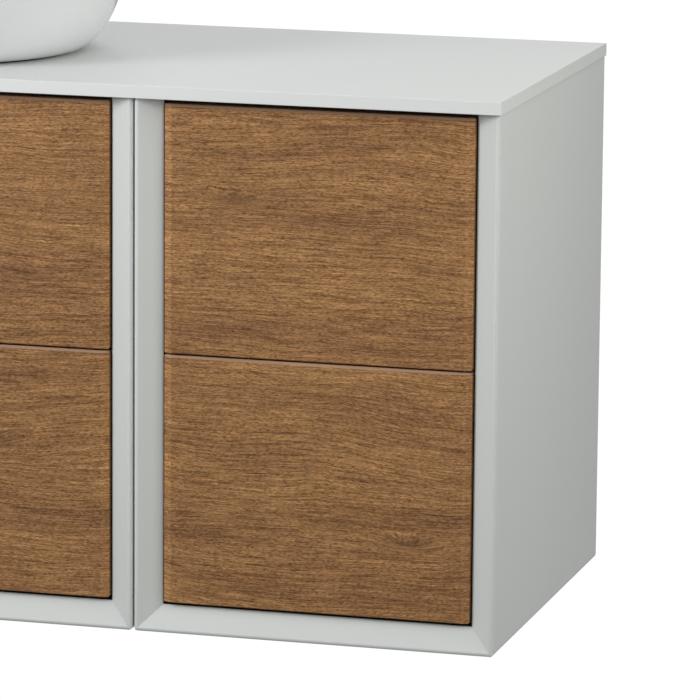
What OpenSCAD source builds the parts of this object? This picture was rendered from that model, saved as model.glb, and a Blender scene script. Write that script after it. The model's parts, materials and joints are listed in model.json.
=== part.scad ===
// Wall-hung double vanity: a 600 mm sink cabinet and a 400 mm side cabinet under one thin
// countertop, with a round vessel bowl over the sink cabinet. Each cabinet has two drawers.
// Frame: X = 0 at the middle of the cabinets, Y = 0 at the wall (the front is at -Y),
// Z = 0 at the underside of the cabinets.

/* [Cabinets] */
// Outer width of the sink cabinet
sink_w = 600; // [560:5:800]
// Outer width of the side cabinet
side_w = 400; // [340:5:600]
// Height of both cabinets, without the countertop
cab_h = 580; // [540:1:640]
// Depth of both cabinets, from the wall to the outermost front edge
cab_d = 490; // [480:1:520]
// Thickness of the sides and the bottom, which is also the width of their front bevel
panel_t = 28; // [24:1:32]
// How far the front bevel falls back from the outer edge to the inner edge
bevel_d = 18; // [12:1:20]
// Rounding of the outer front edge
edge_r = 4; // [1.5:0.5:5]
// Rounding of the lower corners of each cabinet
corner_r = 5; // [2:0.5:6]
// Width of the sealed groove between the two cabinets
groove_w = 2; // [1:0.1:2.5]

/* [Countertop] */
// Thickness of the countertop
top_t = 14; // [12:0.5:20]
// Overhang of the countertop at the front
top_front = 6; // [2:1:12]
// Overhang of the countertop at each end
top_side = 2; // [0.5:0.5:6]

/* [Drawers] */
// Gap at the sides of each drawer front and between the two
front_gap = 2; // [1.5:0.1:3]
// Gap between the lower drawer fronts and the bottom panel
bottom_gap = 4; // [3:0.5:6]
// Gap between the upper drawer fronts and the countertop
head_gap = 6.5; // [3:0.5:8]
// Height of the lower drawer fronts; the upper ones fill the rest
lower_h = 271; // [260:0.5:285]
// How far the face of a drawer front lies behind the outermost front edge
face_back = 10; // [8:1:14]
// Thickness of a drawer front
front_t = 19; // [18:1:20]
// Width of the bevelled border at each end of a drawer front
border_w = 8.5; // [5:0.5:10]
// How far that border falls back
border_d = 4; // [3:0.5:8]
// Thickness of the drawer box boards
board_t = 12; // [10:1:14]
// Height of the drawer boxes
box_h = 180; // [160:1:190]
// Length of the drawer runners
runner_l = 392; // [380:1:392]
// Space on each side of a drawer box for its runner
runner_w = 12.7; // [12.5:0.1:13.5]

/* [Bowl] */
// Largest diameter of the bowl
bowl_d = 424; // [380:1:430]
// Height of the bowl
bowl_h = 130; // [120:1:150]
// Diameter of the foot that stands on the countertop
foot_d = 316; // [280:1:320]
// Thickness of the bowl's wall
wall_t = 9; // [7:1:12]
// Distance of the bowl's centre from the wall
bowl_back = 276; // [255:1:280]

/* [Drain] */
// Outer diameter of the waste pipe
pipe_d = 32; // [32:1:40]
// Height of the waste outlet above the underside of the cabinets
outlet_z = 430; // [425:1:435]
// How far the outlet pipe reaches into the wall
outlet_in = 30; // [20:1:40]

/* [Hidden] */
$fn = 64;
total_w = sink_w + side_w;
joint_x = -total_w / 2 + sink_w;
sink_x0 = -total_w / 2;
sink_x1 = joint_x - groove_w / 2;
side_x0 = joint_x + groove_w / 2;
side_x1 = total_w / 2;
bowl_x = sink_x0 + sink_w / 2;
bowl_y = -bowl_back;
bowl_r = bowl_d / 2;
foot_r = foot_d / 2;
top_z = cab_h + top_t;
seal_t = 1.6;
foot_z = top_z + seal_t;

// Drawer fronts, in the vertical direction
lower_z = panel_t + bottom_gap;
upper_z = lower_z + lower_h + front_gap;
upper_h = cab_h - head_gap - upper_z;
face_y = -cab_d + face_back;
front_back_y = face_y + front_t;
rim_w = 2.5;
rim_d = 2.2;
foot_rim = 1;
box_lift = 22;
box_back_y = -66;
box_bottom_t = 8;
box_bottom_lift = 10;

// Cut-out in the upper sink drawer for the trap
cut_w = 140;
cut_front_y = bowl_y - 72;

// Runners: three shallow channels side by side
rail_t = 1.2;
rail_gap = 0.4;
rail_d = (runner_w - 2 * rail_gap) / 3;
rail_h = [45, 38, 31];
rail_lift = 40;
rail_y1 = box_back_y;
screw_r = 2.2;

// Carcass
rail_board_t = 18;
rail_board_w = 80;
rail_front_y = front_back_y + 5;
back_t = 8;
back_y = -28;
back_top = cab_h - 32;
cutout_w = 94;
bolt_r = 3;
bolt_head_r = 6;
bolt_head_t = 2;
bolt_ys = [-cab_d + 70, -90];
bolt_zs = [upper_z - 34, cab_h - 45];
screw_inset = 70;
seal_back = 10;
screw_ys = [rail_front_y + 40, -58];

// Hanging hardware
rail_z = cab_h - 80;
rail_plate_t = 2;
rail_stand = 8;
rail_lower_h = 24;
rail_upper_h = 26;
wall_hole_r = 4;
wall_hole_z = rail_z + 12;
rail_end_gap = 4;
hanger_w = 46;
hanger_y0 = -60;
hanger_z0 = cab_h - 58;
hanger_z1 = cab_h - 24;

// Bowl's shape
bowl_floor = 12;
seat_d = 1.5;
rim_r = wall_t / 2;
dish_r = 45;
inner_n = 0.75;
swell_h = 100;
swell_n = 1.83;

// Drain and trap
flange_seat_z = foot_z + bowl_floor - seat_d;
drain_hole_r = 23;
sleeve_r = 20;
sleeve_bore_r = 16.5;
flange_r = 32;
flange_t = 3;
sleeve_end_z = cab_h - 42;
top_hole_r = 25;
pipe_r = pipe_d / 2;
trap_r = 29;
trap_top_z = outlet_z + 34;
trap_mid_z = outlet_z - 26;
trap_end_z = outlet_z - 100;

// ---- Shared shapes ----

// Profile of a carcass board: u runs from the outer face inwards, v from the front backwards.
function board_profile(depth) = concat(
    [for (a = [0:7.5:82.5]) [edge_r - edge_r * cos(a), edge_r - edge_r * sin(a)]],
    [[edge_r + 0.6, 0.2], [panel_t, bevel_d], [panel_t, depth], [0, depth]]);

// Half of the rounding of a lower corner: an arc round (x, corner_r) from the angle a.
function corner(x, a) =
    [for (t = [a:7.5:a + 45]) [x + corner_r * cos(t), corner_r + corner_r * sin(t)]];

// A cylinder along X from x0, and along Y from y0.
module rod_x(x0, y, z, r, length) {
    translate([x0, y, z]) rotate([0, 90, 0]) cylinder(r = r, h = length);
}
module rod_y(x, y0, z, r, length) {
    translate([x, y0, z]) rotate([-90, 0, 0]) cylinder(r = r, h = length);
}

// A box from its two corners.
module block(a, b) {
    translate(a) cube(b - a);
}

// A side panel with its outer face at x = 0 and its body towards +X.
module side_board(holes) {
    difference() {
        intersection() {
            translate([0, -cab_d, 0]) linear_extrude(cab_h) polygon(board_profile(cab_d));
            translate([0, 1, 0]) rotate([90, 0, 0]) linear_extrude(cab_d + 2)
                polygon(concat(corner(corner_r, 180),
                               [[panel_t, panel_t], [panel_t, cab_h], [0, cab_h]]));
        }
        if (holes) for (y = bolt_ys, z = bolt_zs) rod_x(-1, y, z, bolt_r + 0.3, panel_t + 2);
    }
}

// The bottom panel of a cabinet, mitred to both sides.
module bottom_board(x0, x1) {
    intersection() {
        translate([x0, -cab_d, 0]) rotate([90, 0, 90]) linear_extrude(x1 - x0)
            polygon([for (p = board_profile(cab_d)) [p[1], p[0]]]);
        translate([x0, 1, 0]) rotate([90, 0, 0]) linear_extrude(cab_d + 2)
            polygon(concat(corner(corner_r, 225), corner(x1 - x0 - corner_r, 270),
                           [[x1 - x0 - panel_t, panel_t], [panel_t, panel_t]]));
    }
}

// The two rails that join the sides under the countertop, drilled for its screws.
module top_rails(x0, x1) {
    for (i = [0, 1]) {
        y0 = i == 0 ? rail_front_y : back_y - rail_board_w + 8;
        difference() {
            block([x0 + panel_t, y0, cab_h - rail_board_t],
                  [x1 - panel_t, y0 + rail_board_w, cab_h]);
            for (x = [x0 + panel_t + screw_inset, x1 - panel_t - screw_inset])
                translate([x, screw_ys[i], cab_h - rail_board_t - 1])
                    cylinder(r = screw_r + 0.4, h = rail_board_t + 2);
        }
    }
}

module back_board(x0, x1) {
    block([x0 + panel_t, back_y, panel_t], [x1 - panel_t, back_y + back_t, back_top]);
}

// Distance of a wall rail's two holes from its middle.
function wall_hole_x(x0, x1) = (x1 - x0) / 2 - 80;

// A steel hanging rail that is screwed to the wall, with a lip that stands off the wall.
module wall_rail(x0, x1) {
    mid = (x0 + x1) / 2;
    half = (x1 - x0) / 2 - panel_t - rail_end_gap;
    difference() {
        translate([mid - half, 0, rail_z]) rotate([90, 0, 90]) linear_extrude(2 * half)
            polygon([[0, 0], [0, rail_lower_h + rail_plate_t],
                     [-rail_stand, rail_lower_h + rail_plate_t],
                     [-rail_stand, rail_lower_h + rail_upper_h],
                     [-rail_stand - rail_plate_t, rail_lower_h + rail_upper_h],
                     [-rail_stand - rail_plate_t, rail_lower_h],
                     [-rail_plate_t, rail_lower_h], [-rail_plate_t, 0]]);
        for (side = [-1, 1])
            rod_y(mid + side * wall_hole_x(x0, x1), -20, wall_hole_z, wall_hole_r, 30);
    }
}

// A hanger: a cased adjuster on the cabinet side, with an arm that hooks over the wall rail.
module hanger(x0) {
    difference() {
        block([x0, hanger_y0, hanger_z0], [x0 + hanger_w, back_y, hanger_z1]);
        for (x = [x0 + 14, x0 + hanger_w - 14])
            rod_y(x, hanger_y0 - 1, hanger_z0 + 12, 3, 15);
    }
    arm_z = rail_z + rail_lower_h + rail_upper_h + 1;
    block([x0 + 8, back_y, arm_z], [x0 + hanger_w - 8, -3, arm_z + 3]);
    block([x0 + 8, -6, arm_z - 14], [x0 + hanger_w - 8, -3, arm_z]);
}

// ---- Drawers: cab is [x0, x1] of the cabinet, z0 is the underside of the drawer front ----

function box_x0(cab) = cab[0] + panel_t + runner_w;
function box_x1(cab) = cab[1] - panel_t - runner_w;

module drawer_front(cab, z0, height) {
    w = cab[1] - cab[0] - 2 * panel_t - 2 * front_gap;
    x0 = cab[0] + panel_t + front_gap;
    intersection() {
        translate([x0, face_y, z0]) linear_extrude(height)
            polygon([[0, border_d], [border_w, 0], [w - border_w, 0], [w, border_d],
                     [w, front_t], [0, front_t]]);
        translate([x0, face_y, z0]) rotate([90, 0, 90]) linear_extrude(w)
            polygon([[foot_rim, 0], [0, foot_rim], [0, height - rim_w], [rim_d, height],
                     [front_t, height], [front_t, 0]]);
    }
}

module drawer_sides(cab, z0) {
    z = z0 + box_lift;
    block([box_x0(cab), front_back_y, z], [box_x0(cab) + board_t, box_back_y, z + box_h]);
    block([box_x1(cab) - board_t, front_back_y, z], [box_x1(cab), box_back_y, z + box_h]);
}

module drawer_back(cab, z0) {
    z = z0 + box_lift;
    block([box_x0(cab) + board_t, box_back_y - board_t, z],
          [box_x1(cab) - board_t, box_back_y, z + box_h]);
}

module drawer_base(cab, z0) {
    z = z0 + box_lift + box_bottom_lift;
    block([box_x0(cab) + board_t, front_back_y, z],
          [box_x1(cab) - board_t, box_back_y - board_t, z + box_bottom_t]);
}

// One shallow channel of a runner: rank 0 is on the cabinet, 1 in the middle, 2 on the drawer.
// x is its face on the cabinet's side and dir is the direction of the drawer.
module rail(x, dir, zc, rank) {
    h = rail_h[rank];
    translate([x, rail_y1, zc]) rotate([90, 0, 0]) linear_extrude(runner_l)
        scale([dir, 1])
            polygon([[0, -h / 2], [rail_d, -h / 2], [rail_d, -h / 2 + rail_t],
                     [rail_t, -h / 2 + rail_t], [rail_t, h / 2 - rail_t],
                     [rail_d, h / 2 - rail_t], [rail_d, h / 2], [0, h / 2]]);
}

module rails(cab, z0, rank) {
    zc = z0 + box_lift + rail_lift;
    step = rank * (rail_d + rail_gap);
    rail(cab[0] + panel_t + step, 1, zc, rank);
    rail(cab[1] - panel_t - step, -1, zc, rank);
}

sink_cab = [sink_x0, sink_x1];
side_cab = [side_x0, side_x1];

// ---- Bowl and drain ----

// Outer profile of the bowl: radius at a height above the foot.
function bowl_out(z) = z >= swell_h ? bowl_r
    : foot_r + (bowl_r - foot_r) * pow(1 - pow(1 - z / swell_h, swell_n), 1 / swell_n);

// Inner profile: a full quarter curve from the rim (a = 0) to the flat round the drain (a = 90).
function bowl_in(a) = [dish_r + (bowl_r - wall_t - dish_r) * pow(cos(a), inner_n),
                       bowl_floor + (bowl_h - rim_r - bowl_floor) * (1 - pow(sin(a), inner_n))];

module countertop() {
    x0 = sink_x0 - top_side;
    x1 = side_x1 + top_side;
    y0 = -cab_d - top_front;
    c = 0.5;
    color("whitesmoke") difference() {
        intersection() {
            translate([0, 0, cab_h]) linear_extrude(top_t)
                polygon([[x0 + c, y0], [x1 - c, y0], [x1, y0 + c], [x1, 0], [x0, 0],
                         [x0, y0 + c]]);
            translate([x0, 0, cab_h]) rotate([90, 0, 90]) linear_extrude(x1 - x0)
                polygon([[y0, c], [y0 + c, 0], [0, 0], [0, top_t], [y0 + c, top_t],
                         [y0, top_t - c]]);
        }
        translate([bowl_x, bowl_y, cab_h - 1]) cylinder(r = top_hole_r, h = top_t + 2);
        for (cab = [sink_cab, side_cab], y = screw_ys)
            for (x = [cab[0] + panel_t + screw_inset, cab[1] - panel_t - screw_inset])
                translate([x, y, cab_h - 1]) cylinder(r = screw_r + 0.2, h = 11);
    }
}

module sink_bowl() {
    n = 14;
    color("white") translate([bowl_x, bowl_y, foot_z]) rotate_extrude($fn = 96)
        polygon(concat(
            [[drain_hole_r, 0], [foot_r - 1, 0]],
            [for (i = [0:n]) let (z = 1 + (swell_h - 1) * i / n) [bowl_out(z), z]],
            [for (a = [0:30:180]) [bowl_r - rim_r + rim_r * cos(a),
                                   bowl_h - rim_r + rim_r * sin(a)]],
            [for (i = [1:n]) bowl_in(90 * i / n)],
            [[drain_hole_r + 13, bowl_floor - seat_d], [drain_hole_r, bowl_floor - seat_d]]));
}

module ring(z, r0, r1, h) {
    translate([bowl_x, bowl_y, z]) rotate_extrude()
        polygon([[r0, 0], [r1, 0], [r1, h], [r0, h]]);
}

module bowl_seal() {
    color("dimgray") ring(top_z, foot_r - 14, foot_r - 3, seal_t);
}

module drain_gasket_top() {
    color("black") ring(flange_seat_z, sleeve_r + 0.3, flange_r - 2, seat_d);
}

module drain_body() {
    z0 = flange_seat_z + seat_d;
    color("silver") translate([bowl_x, bowl_y, 0]) rotate_extrude()
        polygon([[sleeve_bore_r, sleeve_end_z], [sleeve_r, sleeve_end_z],
                 [sleeve_r, z0], [flange_r, z0], [flange_r, z0 + 1],
                 [flange_r - 3, z0 + flange_t], [sleeve_bore_r + 6, z0 + 1.2],
                 [sleeve_bore_r, z0]]);
}

module drain_gasket_lower() {
    color("black") ring(cab_h - 3, sleeve_r + 0.3, sleeve_r + 14, 3);
}

module drain_locknut() {
    color("silver") translate([bowl_x, bowl_y, cab_h - 13]) difference() {
        cylinder(r = sleeve_r + 11, h = 10, $fn = 6);
        translate([0, 0, -1]) cylinder(r = sleeve_r + 0.1, h = 12);
    }
}

// Push-open plug: a domed cap over the flange and a stem that slides in the sleeve.
module drain_plug() {
    z0 = flange_seat_z + seat_d + flange_t + 0.4;
    color("silver") translate([bowl_x, bowl_y, 0]) rotate_extrude()
        polygon([[0, z0 - 34], [5, z0 - 34], [5, z0 - 12], [12, z0 - 10], [12, z0 - 4],
                 [5, z0 - 3], [5, z0], [flange_r - 2, z0], [flange_r - 1, z0 + 1.5],
                 [flange_r - 3, z0 + 3], [flange_r - 12, z0 + 4.4], [0, z0 + 5]]);
}

module trap_inlet() {
    color("silver") translate([bowl_x, bowl_y, 0]) rotate_extrude()
        polygon([[pipe_r - 1.5, trap_mid_z - 30], [pipe_r, trap_mid_z - 30],
                 [pipe_r, sleeve_end_z - 16], [sleeve_r + 4, sleeve_end_z - 14],
                 [sleeve_r + 4, sleeve_end_z + 12], [sleeve_r + 0.1, sleeve_end_z + 12],
                 [sleeve_r + 0.1, sleeve_end_z - 1], [pipe_r - 1.5, sleeve_end_z - 1]]);
}

module trap_inlet_nut() {
    color("silver") ring(trap_top_z, pipe_r + 0.3, pipe_r + 8, 16);
}

module trap_body() {
    color("silver") difference() {
        union() {
            translate([bowl_x, bowl_y, 0]) rotate_extrude()
                polygon([[0, trap_mid_z], [trap_r, trap_mid_z], [trap_r, trap_top_z - 12],
                         [pipe_r + 8, trap_top_z], [0, trap_top_z]]);
            rod_y(bowl_x, bowl_y, outlet_z, pipe_r + 4, trap_r + 10);
        }
        translate([bowl_x, bowl_y, trap_mid_z - 1]) cylinder(r = trap_r - 2.5,
                                                             h = outlet_z - trap_mid_z + 19);
        translate([bowl_x, bowl_y, trap_mid_z]) cylinder(r = pipe_r + 0.3,
                                                         h = trap_top_z - trap_mid_z + 1);
        rod_y(bowl_x, bowl_y, outlet_z, pipe_r + 0.3, trap_r + 20);
    }
}

module trap_cup() {
    color("silver") translate([bowl_x, bowl_y, 0]) rotate_extrude()
        polygon([[0, trap_end_z], [trap_r - 9, trap_end_z], [trap_r, trap_end_z + 7],
                 [trap_r, trap_mid_z - 16], [trap_r + 3, trap_mid_z - 14],
                 [trap_r + 3, trap_mid_z], [trap_r - 2.5, trap_mid_z],
                 [trap_r - 2.5, trap_end_z + 8], [trap_r - 10, trap_end_z + 2.5],
                 [0, trap_end_z + 2.5]]);
}

module outlet_nut() {
    color("silver") difference() {
        rod_y(bowl_x, bowl_y + trap_r + 10, outlet_z, pipe_r + 8, 16);
        rod_y(bowl_x, bowl_y + trap_r + 9, outlet_z, pipe_r + 0.2, 18);
    }
}

module outlet_pipe() {
    y0 = bowl_y + trap_r + 2;
    color("silver") difference() {
        rod_y(bowl_x, y0, outlet_z, pipe_r, outlet_in - y0);
        rod_y(bowl_x, y0 - 1, outlet_z, pipe_r - 1.5, outlet_in - y0 + 2);
        // Groove that marks how far the pipe goes into the wall's socket
        translate([bowl_x, 1, outlet_z]) rotate([-90, 0, 0]) difference() {
            cylinder(r = pipe_r + 1, h = 1);
            translate([0, 0, -1]) cylinder(r = pipe_r - 0.5, h = 3);
        }
    }
}

module wall_rosette() {
    color("silver") translate([bowl_x, 0, outlet_z]) rotate([90, 0, 0]) rotate_extrude()
        polygon([[pipe_r + 0.2, 0], [pipe_r + 20, 0], [pipe_r + 20, 2], [pipe_r + 8, 12],
                 [pipe_r + 0.2, 15]]);
}

// ---- Carcass ----

module sink_side_left() { color("white") translate([sink_x0, 0, 0]) side_board(false); }
module sink_side_right() {
    color("white") translate([sink_x1, 0, 0]) mirror([1, 0, 0]) side_board(true);
}
module sink_bottom() { color("white") bottom_board(sink_x0, sink_x1); }
module sink_top_rails() { color("gainsboro") top_rails(sink_x0, sink_x1); }
module sink_back_panel() {
    color("gainsboro") difference() {
        back_board(sink_x0, sink_x1);
        block([bowl_x - cutout_w / 2, back_y - 1, outlet_z - cutout_w / 2],
              [bowl_x + cutout_w / 2, back_y + back_t + 1, outlet_z + cutout_w / 2]);
    }
}
module sink_wall_rail() { color("lightsteelblue") wall_rail(sink_x0, sink_x1); }
module side_side_left() { color("white") translate([side_x0, 0, 0]) side_board(true); }
module side_side_right() {
    color("white") translate([side_x1, 0, 0]) mirror([1, 0, 0]) side_board(false);
}
module side_bottom() { color("white") bottom_board(side_x0, side_x1); }
module side_top_rails() { color("gainsboro") top_rails(side_x0, side_x1); }
module side_back_panel() { color("gainsboro") back_board(side_x0, side_x1); }
module side_wall_rail() { color("lightsteelblue") wall_rail(side_x0, side_x1); }

module hanger_brackets() {
    color("silver") for (cab = [sink_cab, side_cab]) {
        hanger(cab[0] + panel_t);
        hanger(cab[1] - panel_t - hanger_w);
    }
}

module joint_seal() {
    color("dimgray") difference() {
        block([sink_x1, -cab_d + seal_back, corner_r + 1], [side_x0, -2, cab_h - 1]);
        for (y = bolt_ys, z = bolt_zs) rod_x(sink_x1 - 1, y, z, bolt_r + 0.3, groove_w + 2);
    }
}

module connector_bolts() {
    a = sink_x1 - panel_t;
    b = side_x0 + panel_t;
    color("silver") for (y = bolt_ys, z = bolt_zs) {
        rod_x(a - bolt_head_t, y, z, bolt_r, b - a + 2 * bolt_head_t);
        rod_x(a - bolt_head_t, y, z, bolt_head_r, bolt_head_t);
        rod_x(b, y, z, bolt_head_r, bolt_head_t);
    }
}

module countertop_screws() {
    color("silver") for (cab = [sink_cab, side_cab], y = screw_ys)
        for (x = [cab[0] + panel_t + screw_inset, cab[1] - panel_t - screw_inset])
            translate([x, y, 0]) rotate_extrude($fn = 24)
                polygon([[0, cab_h - rail_board_t - 3], [3, cab_h - rail_board_t - 3],
                         [4.5, cab_h - rail_board_t - 1.5], [4.5, cab_h - rail_board_t],
                         [screw_r, cab_h - rail_board_t], [screw_r, cab_h + 9],
                         [0, cab_h + 9.8]]);
}

// ---- Drawers of the sink cabinet ----

module sink_upper_front() { color("peru") drawer_front(sink_cab, upper_z, upper_h); }
module sink_upper_sides() { color("gray") drawer_sides(sink_cab, upper_z); }
module sink_upper_back() {
    color("gray") difference() {
        drawer_back(sink_cab, upper_z);
        block([bowl_x - cut_w / 2 - board_t, box_back_y - board_t - 1, upper_z],
              [bowl_x + cut_w / 2 + board_t, box_back_y + 1, upper_z + upper_h]);
    }
}
module sink_upper_base() {
    color("gray") difference() {
        drawer_base(sink_cab, upper_z);
        block([bowl_x - cut_w / 2 - board_t, cut_front_y - board_t, upper_z],
              [bowl_x + cut_w / 2 + board_t, 0, upper_z + upper_h]);
    }
}
module sink_upper_cutout_walls() {
    z = upper_z + box_lift;
    color("gray") {
        for (x = [bowl_x - cut_w / 2 - board_t, bowl_x + cut_w / 2])
            block([x, cut_front_y - board_t, z], [x + board_t, box_back_y, z + box_h]);
        block([bowl_x - cut_w / 2, cut_front_y - board_t, z],
              [bowl_x + cut_w / 2, cut_front_y, z + box_h]);
    }
}
module sink_lower_front() { color("peru") drawer_front(sink_cab, lower_z, lower_h); }
module sink_lower_sides() { color("gray") drawer_sides(sink_cab, lower_z); }
module sink_lower_back() { color("gray") drawer_back(sink_cab, lower_z); }
module sink_lower_base() { color("gray") drawer_base(sink_cab, lower_z); }

// ---- Drawers of the side cabinet ----

module side_upper_front() { color("peru") drawer_front(side_cab, upper_z, upper_h); }
module side_upper_sides() { color("gray") drawer_sides(side_cab, upper_z); }
module side_upper_back() { color("gray") drawer_back(side_cab, upper_z); }
module side_upper_base() { color("gray") drawer_base(side_cab, upper_z); }
module side_lower_front() { color("peru") drawer_front(side_cab, lower_z, lower_h); }
module side_lower_sides() { color("gray") drawer_sides(side_cab, lower_z); }
module side_lower_back() { color("gray") drawer_back(side_cab, lower_z); }
module side_lower_base() { color("gray") drawer_base(side_cab, lower_z); }

// ---- Runners ----

module sink_upper_outer_rails() { color("silver") rails(sink_cab, upper_z, 0); }
module sink_upper_middle_rails() { color("silver") rails(sink_cab, upper_z, 1); }
module sink_upper_inner_rails() { color("silver") rails(sink_cab, upper_z, 2); }
module sink_lower_outer_rails() { color("silver") rails(sink_cab, lower_z, 0); }
module sink_lower_middle_rails() { color("silver") rails(sink_cab, lower_z, 1); }
module sink_lower_inner_rails() { color("silver") rails(sink_cab, lower_z, 2); }
module side_upper_outer_rails() { color("silver") rails(side_cab, upper_z, 0); }
module side_upper_middle_rails() { color("silver") rails(side_cab, upper_z, 1); }
module side_upper_inner_rails() { color("silver") rails(side_cab, upper_z, 2); }
module side_lower_outer_rails() { color("silver") rails(side_cab, lower_z, 0); }
module side_lower_middle_rails() { color("silver") rails(side_cab, lower_z, 1); }
module side_lower_inner_rails() { color("silver") rails(side_cab, lower_z, 2); }

// ---- Nodes ----

countertop();
sink_bowl();
bowl_seal();
drain_body();
drain_gasket_top();
drain_gasket_lower();
drain_locknut();
drain_plug();
trap_inlet();
trap_inlet_nut();
trap_body();
trap_cup();
outlet_nut();
outlet_pipe();
wall_rosette();
sink_side_left();
sink_side_right();
sink_bottom();
sink_top_rails();
sink_back_panel();
sink_wall_rail();
side_side_left();
side_side_right();
side_bottom();
side_top_rails();
side_back_panel();
side_wall_rail();
hanger_brackets();
joint_seal();
connector_bolts();
countertop_screws();
sink_upper_front();
sink_upper_sides();
sink_upper_back();
sink_upper_base();
sink_upper_cutout_walls();
sink_lower_front();
sink_lower_sides();
sink_lower_back();
sink_lower_base();
side_upper_front();
side_upper_sides();
side_upper_back();
side_upper_base();
side_lower_front();
side_lower_sides();
side_lower_back();
side_lower_base();
sink_upper_outer_rails();
sink_upper_middle_rails();
sink_upper_inner_rails();
sink_lower_outer_rails();
sink_lower_middle_rails();
sink_lower_inner_rails();
side_upper_outer_rails();
side_upper_middle_rails();
side_upper_inner_rails();
side_lower_outer_rails();
side_lower_middle_rails();
side_lower_inner_rails();
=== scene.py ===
"""Looks for the wall-hung vanity with a vessel sink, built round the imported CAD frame."""

import json
import math

import bmesh
import bpy
from mathutils import Matrix, Vector

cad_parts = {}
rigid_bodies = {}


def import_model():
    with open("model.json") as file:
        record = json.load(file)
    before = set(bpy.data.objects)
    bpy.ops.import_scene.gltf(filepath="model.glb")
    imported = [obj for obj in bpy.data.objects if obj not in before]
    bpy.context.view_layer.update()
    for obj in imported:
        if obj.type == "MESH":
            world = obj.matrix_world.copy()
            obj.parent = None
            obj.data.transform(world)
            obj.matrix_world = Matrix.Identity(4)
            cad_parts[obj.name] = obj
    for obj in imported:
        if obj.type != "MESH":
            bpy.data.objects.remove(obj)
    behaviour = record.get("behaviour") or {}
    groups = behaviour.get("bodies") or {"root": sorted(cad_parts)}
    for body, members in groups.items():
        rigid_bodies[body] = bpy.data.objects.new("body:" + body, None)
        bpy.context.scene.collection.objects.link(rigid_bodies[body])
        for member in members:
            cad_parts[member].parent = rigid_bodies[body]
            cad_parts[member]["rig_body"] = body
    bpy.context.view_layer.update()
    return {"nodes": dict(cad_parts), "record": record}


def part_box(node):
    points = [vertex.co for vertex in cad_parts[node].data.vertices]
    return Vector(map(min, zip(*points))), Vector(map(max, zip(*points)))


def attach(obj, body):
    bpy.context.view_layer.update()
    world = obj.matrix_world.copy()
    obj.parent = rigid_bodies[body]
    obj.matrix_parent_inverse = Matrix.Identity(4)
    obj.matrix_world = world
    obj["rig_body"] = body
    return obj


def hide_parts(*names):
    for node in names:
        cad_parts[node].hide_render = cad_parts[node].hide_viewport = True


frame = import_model()
nodes_cad = frame["nodes"]

# One millimetre, in metres.
MM = 0.001


# ---- Camera, light and floor ----

# Where the camera stands, in metres, with its turn to the left, tilt down and roll, in radians.
CAMERA_PLACE = (1.77282, -5.70683, 1.36355)
CAMERA_ANGLES = (0.2680, 0.1901, -0.0086)
# Focal length and sensor width, in millimetres.
LENS = 268.785
SENSOR = 36
# Colour of the sky, slightly cool.
SKY_COLOUR = (0.985, 0.995, 1.0, 1)
# Side of the floor, in metres, its grey for the light, and its brightness for the camera.
FLOOR_SIZE = 60
FLOOR_GREY = 0.5
FLOOR_WHITE = 1.03


def make_camera():
    """A long lens, from the right and above, at the angle that the photograph was taken from."""
    yaw, pitch, roll = CAMERA_ANGLES
    forward = Vector((-math.sin(yaw) * math.cos(pitch), math.cos(yaw) * math.cos(pitch),
                      -math.sin(pitch)))
    level = Vector((math.cos(yaw), math.sin(yaw), 0))
    down = forward.cross(level)
    right = level * math.cos(roll) + down * math.sin(roll)
    up = -(forward.cross(right))
    data = bpy.data.cameras.new("camera")
    data.sensor_width = SENSOR
    data.lens = LENS
    data.clip_end = 100
    camera = bpy.data.objects.new("camera", data)
    axes = Matrix((right, up, -forward)).transposed().to_4x4()
    camera.matrix_world = Matrix.Translation(CAMERA_PLACE) @ axes
    bpy.context.scene.collection.objects.link(camera)
    bpy.context.scene.camera = camera


def make_panel(name, place, target, width, depth, power, spread=180, tint=(1, 1, 1)):
    """A soft rectangular light at place that faces target, with its spread in degrees."""
    data = bpy.data.lights.new(name, "AREA")
    data.shape = "RECTANGLE"
    data.size = width
    data.size_y = depth
    data.energy = power
    data.spread = math.radians(spread)
    data.color = tint
    light = bpy.data.objects.new(name, data)
    light.location = place
    light.visible_camera = False
    light.rotation_mode = "QUATERNION"
    light.rotation_quaternion = (Vector(target) - Vector(place)).to_track_quat("-Z", "Y")
    bpy.context.scene.collection.objects.link(light)


def make_world(level):
    """An even sky, with level as its brightness."""
    world = bpy.data.worlds.new("studio")
    bpy.context.scene.world = world
    world.use_nodes = True
    background = world.node_tree.nodes["Background"]
    background.inputs["Color"].default_value = SKY_COLOUR
    background.inputs["Strength"].default_value = level


def make_floor(height):
    """A plain floor that the camera sees as white and that reflects light as pale grey."""
    bpy.ops.mesh.primitive_plane_add(size=FLOOR_SIZE, location=(0, 0, height))
    floor = bpy.context.object
    floor.name = "floor"
    look = Look("floor_white", Roughness=0.9)
    look.bsdf.inputs["Base Color"].default_value = (FLOOR_GREY, FLOOR_GREY, FLOOR_GREY, 1)
    white = look.add("ShaderNodeEmission", {"Color": (1, 1, 1, 1), "Strength": FLOOR_WHITE})
    seen = look.add("ShaderNodeLightPath").outputs["Is Camera Ray"]
    both = look.add("ShaderNodeMixShader", {0: seen, 1: look.bsdf.outputs["BSDF"],
                                            2: white.outputs["Emission"]})
    output = look.tree.nodes["Material Output"]
    look.tree.links.new(both.outputs["Shader"], output.inputs["Surface"])
    floor.data.materials.append(look.material)


# ---- Procedural materials ----

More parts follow.
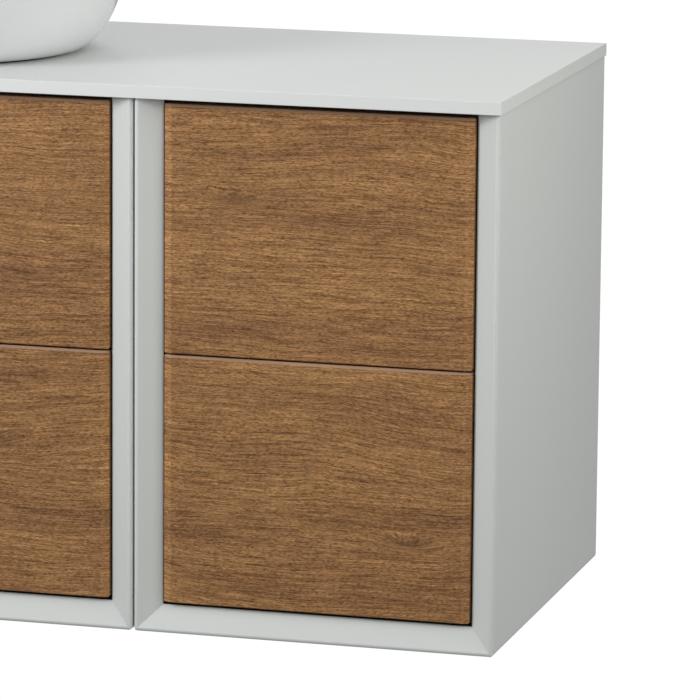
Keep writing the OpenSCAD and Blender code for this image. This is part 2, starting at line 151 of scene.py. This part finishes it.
class Look:
    """A material with a Principled shader, and short calls that add texture nodes to it."""

    def __init__(self, name, **values):
        self.material = bpy.data.materials.new(name)
        self.material.use_nodes = True
        self.tree = self.material.node_tree
        self.bsdf = self.tree.nodes["Principled BSDF"]
        for key, value in values.items():
            self.bsdf.inputs[key.replace("_", " ")].default_value = value

    def add(self, kind, inputs=(), **props):
        """Adds a node. Each input is a socket to link or a value to set."""
        node = self.tree.nodes.new(kind)
        for key, value in props.items():
            setattr(node, key, value)
        for key, value in dict(inputs).items():
            if isinstance(value, bpy.types.NodeSocket):
                self.tree.links.new(value, node.inputs[key])
            else:
                node.inputs[key].default_value = value
        return node

    def place(self, scale, shift=(0, 0, 0), source=None):
        """Object coordinates, or those of source, stretched by scale and then moved by shift."""
        if source is None:
            source = self.add("ShaderNodeTexCoord").outputs["Object"]
        return self.add("ShaderNodeMapping", {"Vector": source, "Scale": scale,
                                              "Location": shift}).outputs["Vector"]

    def noise(self, where, detail=3, rough=0.5):
        """Noise whose size comes from the scale of where alone."""
        return self.add("ShaderNodeTexNoise",
                        {"Vector": where, "Scale": 1, "Detail": detail, "Roughness": rough,
                         "Distortion": 0}).outputs["Fac"]

    def ramp(self, value, stops):
        """Maps value through (position, level or colour) stops."""
        ramp = self.add("ShaderNodeValToRGB", {"Fac": value})
        elements = ramp.color_ramp.elements
        while len(elements) < len(stops):
            elements.new(0.5)
        for element, (position, colour) in zip(elements, stops):
            element.position = position
            if isinstance(colour, (int, float)):
                colour = (colour, colour, colour)
            element.color = (*colour, 1)
        return ramp.outputs["Color"]

    def mix(self, factor, a, b, blend="MIX"):
        return self.add("ShaderNodeMix", {0: factor, 6: a, 7: b}, data_type="RGBA",
                        blend_type=blend).outputs[2]

    def math(self, operation, a, b):
        return self.add("ShaderNodeMath", {0: a, 1: b}, operation=operation).outputs[0]

    def bump(self, height, strength, distance):
        node = self.add("ShaderNodeBump", {"Height": height, "Strength": strength,
                                           "Distance": distance})
        self.tree.links.new(node.outputs["Normal"], self.bsdf.inputs["Normal"])

    def colour(self, socket):
        self.tree.links.new(socket, self.bsdf.inputs["Base Color"])

    def roughness(self, value, low, high):
        """Spreads value from 0 to 1 over a roughness from low to high."""
        level = self.add("ShaderNodeMapRange", {"Value": value, "To Min": low, "To Max": high})
        self.tree.links.new(level.outputs["Result"], self.bsdf.inputs["Roughness"])


def lacquer(name, light, dark):
    """Sprayed satin lacquer: almost flat, with a very fine orange peel."""
    look = Look(name, IOR=1.45, Specular_IOR_Level=0.35)
    cloud = look.noise(look.place((3, 3, 3)), detail=4)
    look.colour(look.ramp(cloud, [(0.35, dark), (0.65, light)]))
    peel = look.noise(look.place((420, 420, 420)), detail=2)
    look.roughness(look.noise(look.place((40, 40, 40))), 0.5, 0.6)
    look.bump(peel, 0.06, 0.0004)
    return look.material


def ceramic():
    """White glaze, hardly clouded and very slightly wavy."""
    look = Look("glazed_ceramic", IOR=1.52, Roughness=0.12, Coat_Weight=0.4,
                Coat_Roughness=0.04)
    cloud = look.noise(look.place((7, 7, 7)), detail=3)
    look.colour(look.ramp(cloud, [(0.3, (0.745, 0.755, 0.765)), (0.7, (0.775, 0.785, 0.795))]))
    look.bump(look.noise(look.place((28, 28, 28)), detail=2), 0.05, 0.002)
    return look.material


# Middles of the knots on the fronts, as (x, z) in metres, and how fast they fade along X and Z.
KNOTS = [(0.205, 0.477), (0.405, 0.115), (-0.31, 0.405), (-0.06, 0.2)]
KNOT_FADE_X = 26
KNOT_FADE_Z = 75
KNOT_COLOUR = (0.085, 0.042, 0.024, 1)
KNOT_SHARE = 0.5
# How far the grain is lifted, in metres, by its slow wander, its fine ripple and a knot.
WANDER_LIFT = 0.05
RIPPLE_LIFT = 0.0025
KNOT_LIFT = 0.008


def knot_field(look, source):
    """1 in the middle of each knot, falling to 0 round it."""
    field = 0.0
    for x, z in KNOTS:
        place = look.place((KNOT_FADE_X, 0, KNOT_FADE_Z), source=source)
        middle = (KNOT_FADE_X * x, 0, KNOT_FADE_Z * z)
        far = look.add("ShaderNodeVectorMath", {0: place, 1: middle}, operation="DISTANCE")
        near = look.ramp(far.outputs["Value"], [(0.05, 1.0), (0.95, 0.0)])
        field = look.math("MAXIMUM", near, field)
    return field


def bend_grain(look, source, knot):
    """Moves the coordinates up and down, so that lines along X become a wavy grain."""
    wander = look.noise(look.place((3.0, 3.0, 6), shift=(0.4, 0, 0.2), source=source), detail=2)
    ripple = look.noise(look.place((46, 46, 46), source=source), detail=2)
    lift = look.math("ADD", look.math("MULTIPLY", wander, WANDER_LIFT),
                     look.math("MULTIPLY", ripple, RIPPLE_LIFT))
    lift = look.math("ADD", lift, look.math("MULTIPLY", knot, KNOT_LIFT))
    up = look.add("ShaderNodeCombineXYZ", {"Z": lift}).outputs["Vector"]
    return look.add("ShaderNodeVectorMath", {0: source, 1: up}, operation="ADD").outputs["Vector"]


def oak(name, gain):
    """Matt oak laminate: zones, streaks, fine lines, pores and cracks. gain lightens its tones."""
    look = Look(name, Specular_IOR_Level=0.25)
    source = look.add("ShaderNodeTexCoord").outputs["Object"]
    knot = knot_field(look, source)
    bent = bend_grain(look, source, knot)
    zones = look.noise(look.place((2.6, 2.6, 17), source=bent), detail=4, rough=0.6)
    streaks = look.noise(look.place((9, 9, 420), source=bent), detail=2, rough=0.6)
    fine = look.noise(look.place((30, 30, 1050), source=bent), detail=1)
    pores = look.noise(look.place((280, 280, 1300), source=bent), detail=1)
    cracks = look.noise(look.place((15, 15, 420), shift=(5, 0, 2), source=bent), detail=1)
    tones = [(0.30, (0.176, 0.085, 0.040)), (0.46, (0.262, 0.134, 0.053)),
             (0.72, (0.330, 0.176, 0.069))]
    layers = [(streaks, [(0.30, (0.82, 0.77, 0.73)), (0.50, 1.0), (0.70, 1.18)]),
              (fine, [(0.28, (0.60, 0.52, 0.46)), (0.50, 1.0), (0.72, 1.34)]),
              (pores, [(0.28, (0.46, 0.38, 0.32)), (0.50, 1.0), (0.72, 1.42)]),
              (cracks, [(0.24, 0.5), (0.29, 1.0)])]
    colour = look.ramp(zones, [(at, tuple(gain * level for level in tone)) for at, tone in tones])
    for layer, stops in layers:
        colour = look.mix(1.0, colour, look.ramp(layer, stops), "MULTIPLY")
    colour = look.mix(look.math("MULTIPLY", knot, KNOT_SHARE), colour, KNOT_COLOUR)
    look.colour(colour)
    look.roughness(streaks, 0.66, 0.5)
    look.bump(look.mix(0.5, fine, cracks), 0.2, 0.0006)
    return look.material


def board(name, light, dark):
    """Laminated board with a fine linen embossing."""
    look = Look(name, IOR=1.45)
    cloud = look.noise(look.place((9, 9, 9)), detail=4)
    look.colour(look.ramp(cloud, [(0.3, dark), (0.7, light)]))
    across = look.noise(look.place((900, 900, 90)), detail=2)
    along = look.noise(look.place((90, 90, 900)), detail=2)
    look.roughness(cloud, 0.5, 0.62)
    look.bump(look.mix(0.5, across, along), 0.2, 0.0003)
    return look.material


def metal(name, colour, low, high, streak):
    """Plated metal: low and high are its roughness, streak the scale of its marks."""
    look = Look(name, Metallic=1.0)
    cloud = look.noise(look.place(streak), detail=4, rough=0.6)
    darker = tuple(c * 0.86 for c in colour)
    look.colour(look.ramp(cloud, [(0.3, darker), (0.7, colour)]))
    look.roughness(cloud, low, high)
    look.bump(cloud, 0.04, 0.0003)
    return look.material


def rubber(name, level):
    """Dull grey rubber: level is its lightness."""
    look = Look(name, Specular_IOR_Level=0.3)
    grit = look.noise(look.place((300, 300, 300)), detail=2)
    look.colour(look.ramp(grit, [(0.3, level * 0.7), (0.7, level)]))
    look.roughness(grit, 0.6, 0.8)
    look.bump(grit, 0.15, 0.0003)
    return look.material


LOOKS = {
    "white_lacquer": lacquer("white_lacquer", (0.612, 0.637, 0.623), (0.602, 0.627, 0.613)),
    "top_lacquer": lacquer("white_top", (0.665, 0.680, 0.672), (0.655, 0.670, 0.662)),
    "bowl_ceramic": ceramic(),
    "oak_front": oak("oak", 1.0),
    # A lighter copy of the oak for the sloping end borders: painted light.
    "oak_lit_border": oak("oak_lit_border", 1.25),
    # A light plain brown for the top rim of each front: a painted highlight.
    "oak_rim_highlight": board("oak_rim_highlight", (0.36, 0.220, 0.140), (0.30, 0.180, 0.115)),
    "drawer_board": board("drawer_board", (0.46, 0.46, 0.45), (0.42, 0.42, 0.41)),
    # Near-black carcass board: painted shade, so the gaps between the fronts and the frame read
    # dark.
    "carcass_inner": board("carcass_shade_board", (0.050, 0.050, 0.052), (0.040, 0.040, 0.042)),
    "runner_steel": metal("runner_steel", (0.60, 0.62, 0.64), 0.28, 0.42, (12, 3, 90)),
    "zinc_steel": metal("zinc_steel", (0.58, 0.60, 0.62), 0.34, 0.5, (60, 60, 60)),
    "chrome": metal("chrome", (0.80, 0.81, 0.83), 0.05, 0.12, (30, 30, 30)),
    "gasket": rubber("gasket_rubber", 0.03),
    "seal": rubber("seal_strip", 0.035),
}
SLOT_OF = {part["node"]: part["material_slot"] for part in frame["record"]["subparts"]}


# ---- Mesh helpers ----

# Corners of a CAD node that are nearer than this, in metres, are welded before it is softened.
WELD_GAP = 1e-5
# Faces that meet at less than FLAT_ANGLE are joined, and edges over EDGE_ANGLE are rounded.
FLAT_ANGLE = math.radians(0.5)
EDGE_ANGLE = math.radians(20)
# Least cosine between a face's normal and a direction for the face to count as facing it.
FACING = 0.95


def finish_piece(bm, name, node, sharp_angle=35):
    """Turns bm into a piece in place of a CAD node: it joins the node's body, takes the material
    of the node's slot and hides the node.
    """
    bmesh.ops.recalc_face_normals(bm, faces=bm.faces)
    for face in bm.faces:
        face.smooth = True
    for edge in bm.edges:
        if len(edge.link_faces) == 2 and edge.calc_face_angle() > math.radians(sharp_angle):
            edge.smooth = False
    mesh = bpy.data.meshes.new(name)
    bm.to_mesh(mesh)
    bm.free()
    piece = bpy.data.objects.new(name, mesh)
    bpy.context.scene.collection.objects.link(piece)
    mesh.materials.append(LOOKS[SLOT_OF[node]])
    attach(piece, nodes_cad[node]["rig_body"])
    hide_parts(node)
    return piece


def lathe(name, node, centre, profile, steps):
    """A closed profile of (radius, height) points, turned round the vertical axis at centre."""
    bm = bmesh.new()
    rings = []
    for i in range(steps):
        turn = 2 * math.pi * i / steps
        rings.append([bm.verts.new((centre.x + r * math.cos(turn),
                                    centre.y + r * math.sin(turn), z)) for r, z in profile])
    count = len(profile)
    for i in range(steps):
        here, after = rings[i], rings[(i + 1) % steps]
        for j in range(count):
            k = (j + 1) % count
            bm.faces.new((here[j], after[j], after[k], here[k]))
    bmesh.ops.remove_doubles(bm, verts=bm.verts, dist=1e-7)
    return finish_piece(bm, name, node)


def soften(node, width, segments=3):
    """Rounds the edges of a CAD node with modifiers; its mesh stays as it is."""
    modifiers = nodes_cad[node].modifiers
    weld = modifiers.new("weld", "WELD")
    weld.merge_threshold = WELD_GAP
    flat = modifiers.new("flat", "DECIMATE")
    flat.decimate_type = "DISSOLVE"
    flat.angle_limit = FLAT_ANGLE
    bevel = modifiers.new("bevel", "BEVEL")
    bevel.width = width
    bevel.segments = segments
    bevel.limit_method = "ANGLE"
    bevel.angle_limit = EDGE_ANGLE
    bevel.harden_normals = True


def paint_inside_shade(node):
    """Gives the inner face of a carcass board the near-black of the carcass board, as painted
    shade that keeps the gaps round the fronts dark.
    """
    inward = {"side_left": (1, 0, 0), "side_right": (-1, 0, 0), "bottom": (0, 0, 1)}
    direction = Vector(next(way for end, way in inward.items() if node.endswith(end)))
    mesh = nodes_cad[node].data
    mesh.materials.append(LOOKS["carcass_inner"])
    for polygon in mesh.polygons:
        # Inward faces take the near-black board: painted shade seen through the gaps.
        if polygon.normal.dot(direction) > FACING:
            polygon.material_index = 1


# ---- Drawer fronts ----

# Width and depth of the sloping border at each end.
BORDER_W = 8.5 * MM
BORDER_D = 4 * MM
# Width and depth of the sloping rim at the top, and of the small chamfer at the foot.
RIM_W = 2.5 * MM
RIM_D = 2.2 * MM
FOOT_RIM = 1 * MM
# Radius of the rounded corners, and the number of grid steps across it.
CORNER_R = 1.6 * MM
CORNER_STEPS = 5
# Distance between the grid lines that hold a fold crisp.
EASE = 0.4 * MM
# Places of the border's material, a lighter oak as painted light, and of the rim's, a light plain
# brown as a painted highlight, in a front's material list.
LIT_BORDER_SLOT = 1
HIGHLIGHT_RIM_SLOT = 2


def fall(distance, width, depth):
    """How far a sloping border lies behind the face at a distance from the edge."""
    return depth * max(1 - distance / width, 0)


def rounded(x, z, width, height):
    """Moves a point near a corner so that the outline turns on an arc."""
    # a and b run from 0 at the inner side of the corner's square to 1 at the outline.
    a = max(CORNER_R - min(x, width - x), 0) / CORNER_R
    b = max(CORNER_R - min(z, height - z), 0) / CORNER_R
    if a == 0 or b == 0:
        return x, z
    new_a = a * math.sqrt(1 - b * b / 2)
    new_b = b * math.sqrt(1 - a * a / 2)
    dx, dz = (a - new_a) * CORNER_R, (b - new_b) * CORNER_R
    return (x + dx if x < width / 2 else x - dx), (z + dz if z < height / 2 else z - dz)


def oak_front(node):
    """A drawer front: sloping borders at the ends, a sloping top rim and rounded corners."""
    low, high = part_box(node)
    width, height = high.x - low.x, high.z - low.z
    fine = [CORNER_R * i / CORNER_STEPS for i in range(CORNER_STEPS + 1)]
    side = fine + [BORDER_W - EASE, BORDER_W, BORDER_W + EASE]
    xs = side + [width - x for x in reversed(side)]
    foot = [0, EASE, FOOT_RIM] + fine[3:]
    head = [0, 0.5 * MM, 1 * MM, 1.5 * MM, 2 * MM, RIM_W, RIM_W + EASE]
    zs = foot + [height - z for z in reversed(head)]
    bm = bmesh.new()
    grid = []
    for x in xs:
        column = []
        for z in zs:
            ends = fall(min(x, width - x), BORDER_W, BORDER_D)
            rim = max(fall(height - z, RIM_W, RIM_D), fall(z, FOOT_RIM, FOOT_RIM))
            px, pz = rounded(x, z, width, height)
            column.append(bm.verts.new((low.x + px, low.y + max(ends, rim), low.z + pz)))
        grid.append(column)
    for i in range(len(xs) - 1):
        for j in range(len(zs) - 1):
            face = bm.faces.new((grid[i][j], grid[i + 1][j], grid[i + 1][j + 1], grid[i][j + 1]))
            # Rim faces get the light plain brown of the painted highlight.
            if zs[j] > height - RIM_W - EASE:
                face.material_index = HIGHLIGHT_RIM_SLOT
            # Border faces get the lighter oak of painted light.
            elif min(xs[i + 1], width - xs[i]) < BORDER_W + EASE / 2:
                face.material_index = LIT_BORDER_SLOT
    outline = ([column[0] for column in grid] + grid[-1][1:]
               + [column[-1] for column in reversed(grid[:-1])] + grid[0][-2:0:-1])
    back = [bm.verts.new((v.co.x, high.y, v.co.z)) for v in outline]
    for i, vert in enumerate(outline):
        k = (i + 1) % len(outline)
        bm.faces.new((vert, outline[k], back[k], back[i]))
    bm.faces.new(back)
    piece = finish_piece(bm, "oak_" + node, node, sharp_angle=28)
    # The border's lighter oak is painted light.
    piece.data.materials.append(LOOKS["oak_lit_border"])
    # The rim's light plain brown is a painted highlight.
    piece.data.materials.append(LOOKS["oak_rim_highlight"])


# ---- Bowl ----

def make_bowl():
    """The vessel bowl: a swelling outside, a rounded rim and a deep round inside."""
    low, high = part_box("sink_bowl")
    centre = (low + high) / 2
    radius, height = (high.x - low.x) / 2, high.z - low.z
    # The outside: radius of the foot, height of the rounding under it, height where the bowl
    # is widest, and the exponent of its swelling.
    foot, heel, swell_z, swell_n = 158 * MM, 1.6 * MM, 100 * MM, 1.83
    # The inside: thickness of the wall and the floor, radius of the flat, and its exponent.
    wall, floor, dish, inner_n = 9 * MM, 12 * MM, 45 * MM, 0.75
    # The waste hole: its radius, and the radius and height of the seat round it.
    hole, seat_r, seat = 23 * MM, 36 * MM, 10.5 * MM
    steps, rim_steps, turns = 56, 16, 256
    rim = wall / 2
    profile = [(hole, 0), (foot - 2.6 * MM, 0), (foot - 1.1 * MM, 0.5 * MM)]
    for i in range(steps + 1):
        z = heel + (height - rim - heel) * i / steps
        share = 1 - (1 - z / swell_z) ** swell_n if z < swell_z else 1
        profile.append((foot + (radius - foot) * share ** (1 / swell_n), z))
    for i in range(1, rim_steps):
        a = math.pi * i / rim_steps
        profile.append((radius - rim + rim * math.cos(a), height - rim + rim * math.sin(a)))
    for i in range(steps + 1):
        a = math.pi / 2 * i / steps
        profile.append((dish + (radius - wall - dish) * max(math.cos(a), 0) ** inner_n,
                        floor + (height - rim - floor) * (1 - math.sin(a) ** inner_n)))
    profile += [(seat_r, seat), (hole, seat)]
    lathe("vessel_bowl", "sink_bowl", centre, [(r, low.z + z) for r, z in profile], turns)


# ---- The object ----

for name, cad in nodes_cad.items():
    cad.data.materials.clear()
    cad.data.materials.append(LOOKS[SLOT_OF[name]])

for name in sorted(nodes_cad):
    if name.endswith("_front"):
        oak_front(name)
make_bowl()
soften("countertop", 0.7 * MM)
for name in sorted(nodes_cad):
    if SLOT_OF[name] == "white_lacquer":
        paint_inside_shade(name)
        soften(name, 0.6 * MM, 2)
    elif SLOT_OF[name] == "drawer_board":
        soften(name, 0.8 * MM, 2)

# The point that the two front lights face, and the side of the three square lights, in metres.
FRONT_MIDDLE = (0.15, -0.49, 0.62)
LAMP = 0.8

make_camera()
make_world(level=0.46)
make_panel("key_left", (-1.25, -1.69, 1.23), FRONT_MIDDLE, LAMP, LAMP, 7.2, spread=90)
make_panel("fill_right", (1.55, -1.69, 1.23), FRONT_MIDDLE, LAMP, LAMP, 3.0, spread=90)
make_panel("side_right", (1.9, -0.8, 1.2), (0.5, -0.3, 0.6), LAMP, LAMP, 2.2, spread=90,
           tint=(1, 0.98, 0.86))
make_panel("top_back", (0.15, 0.9, 1.5), (0.15, -0.2, 0.6), 2.0, 0.7, 7.5)
make_floor(height=-0.29)
bpy.context.scene.view_settings.view_transform = "Standard"
